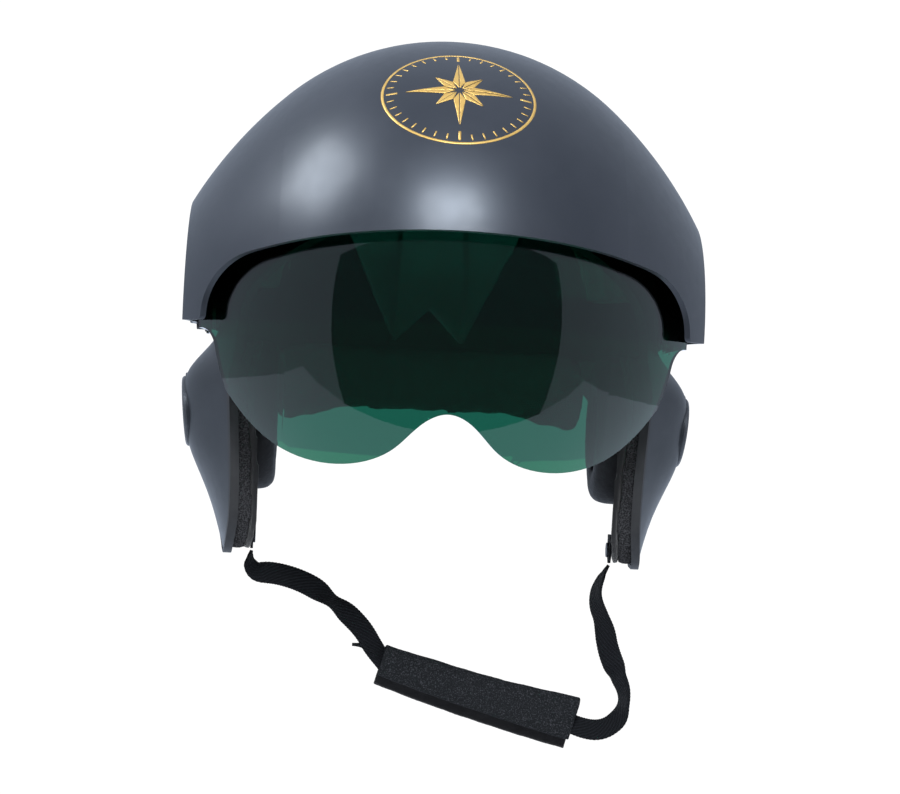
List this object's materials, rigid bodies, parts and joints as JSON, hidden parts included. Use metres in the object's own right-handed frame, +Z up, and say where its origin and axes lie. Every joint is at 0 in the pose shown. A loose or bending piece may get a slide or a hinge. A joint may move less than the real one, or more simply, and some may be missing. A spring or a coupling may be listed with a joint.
{
  "type": "pilot flight helmet",
  "caption": "Hard-shell flight helmet with a swing-up tinted visor under an outer hood, bulged ear cups, padded lining and a hanging chin strap.",
  "frame": {"origin": "middle of the visor's pivot axis, which is the middle of the space for the wearer's head", "axes": "+Z up through the crown, -Y the way the face looks, +X the wearer's left, along the pivot axis"},
  "size_m": [0.2538, 0.274, 0.3474],
  "materials": {
    "hood_plastic": "satin charcoal grey moulded plastic",
    "shell_plastic": "satin charcoal grey moulded plastic",
    "cover_plastic": "satin grey moulded plastic",
    "disc_plastic": "satin dark grey moulded plastic",
    "visor_green": "clear green smoked polycarbonate, polished",
    "trim_rubber": "matt black rubber edging",
    "grey_foam": "open textured grey foam",
    "liner_fabric": "black knitted lining",
    "ear_leather": "soft black cushion cover",
    "pad_foam": "black cloth over foam",
    "bright_steel": "bright polished steel",
    "washer_steel": "plain steel",
    "black_nylon": "black nylon",
    "sleeve_foam": "speckled black foam sheet",
    "sleeve_backing": "black brushed loop cloth",
    "strap_webbing": "black nylon webbing"
  },
  "bodies": {
    "root": {"crown_pad": "pad_foam", "ear_disc_left": "disc_plastic", "ear_disc_right": "disc_plastic", "ear_insert_left": "liner_fabric", "ear_insert_right": "liner_fabric", "ear_pad_left": "ear_leather", "ear_pad_right": "ear_leather", "edge_trim_left": "trim_rubber", "edge_trim_right": "trim_rubber", "flap_foam_left": "grey_foam", "flap_foam_right": "grey_foam", "flap_liner_left": "liner_fabric", "flap_liner_right": "liner_fabric", "front_pad": "pad_foam", "main_shell": "shell_plastic", "nape_pad": "pad_foam", "pivot_bush_left": "black_nylon", "pivot_bush_right": "black_nylon", "pivot_nut_left": "bright_steel", "pivot_nut_right": "bright_steel", "pivot_screw_left": "bright_steel", "pivot_screw_right": "bright_steel", "pivot_spacer_left": "black_nylon", "pivot_spacer_right": "black_nylon", "pivot_washer_left": "washer_steel", "pivot_washer_right": "washer_steel", "rear_liner": "liner_fabric", "rear_screws": "bright_steel", "rear_spacers": "black_nylon", "side_cover_left": "cover_plastic", "side_cover_right": "cover_plastic", "side_pad_left": "pad_foam", "side_pad_right": "pad_foam", "strap_rivet_left": "bright_steel", "strap_rivet_right": "bright_steel", "strap_tab_left": "strap_webbing", "strap_tab_right": "strap_webbing", "visor_hood": "hood_plastic"},
    "visor": {"visor_lens": "visor_green", "lens_grommet_left": "black_nylon", "lens_grommet_right": "black_nylon"},
    "chin_strap": {"webbing_left": "strap_webbing", "webbing_right": "strap_webbing", "chin_sleeve": "sleeve_foam", "chin_sleeve_flap": "sleeve_backing"}
  },
  "joints": [
    {"name": "visor_pivot", "type": "hinge", "parent": "root", "child": "visor", "pos_m": [0, 0, 0], "axis": [-1, 0, 0], "range_deg": [0, 60]},
    {"name": "strap_swing", "type": "hinge", "parent": "root", "child": "chin_strap", "pos_m": [0, -0.018, -0.1165], "axis": [1, 0, 0], "range_deg": [-50, 50]}
  ]
}
